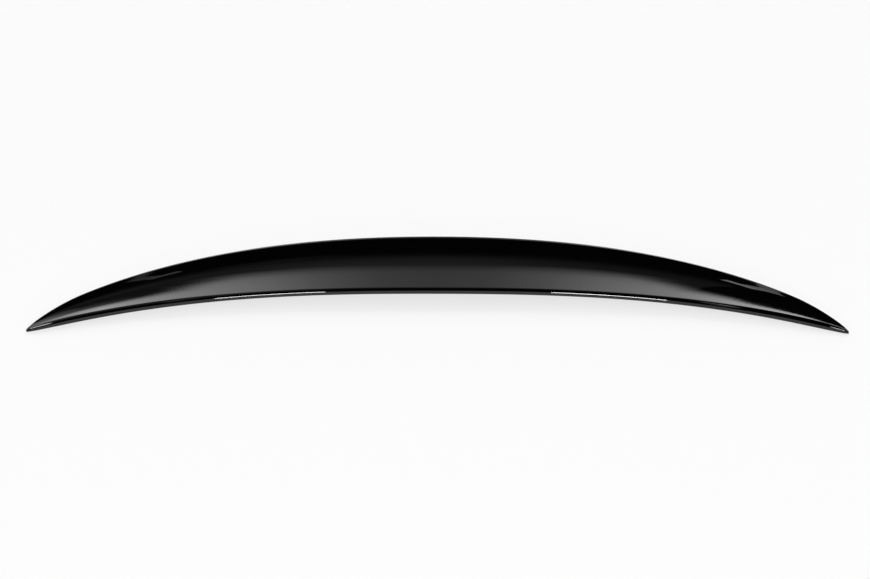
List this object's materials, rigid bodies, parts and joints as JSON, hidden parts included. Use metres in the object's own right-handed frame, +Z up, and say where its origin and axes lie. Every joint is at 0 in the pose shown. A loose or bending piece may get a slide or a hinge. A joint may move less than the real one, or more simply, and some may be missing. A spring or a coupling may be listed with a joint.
{
  "type": "car rear spoiler",
  "caption": "Crescent-shaped boot lid lip spoiler in gloss black, with a rolled trailing lip, a rear skirt and a ribbed hollow underside.",
  "frame": {"origin": "middle of the bounding box on the plane of the skirt's foot, on which the part rests", "axes": "X across the car, -Y towards the car's front, +Z up"},
  "size_m": [1.2, 0.1644, 0.052],
  "materials": {
    "gloss_black": "gloss black paint under clear lacquer on moulded plastic; the underside is the bare matte black moulding"
  },
  "bodies": {
    "root": {"spoiler_blade": "gloss_black"}
  },
  "joints": []
}
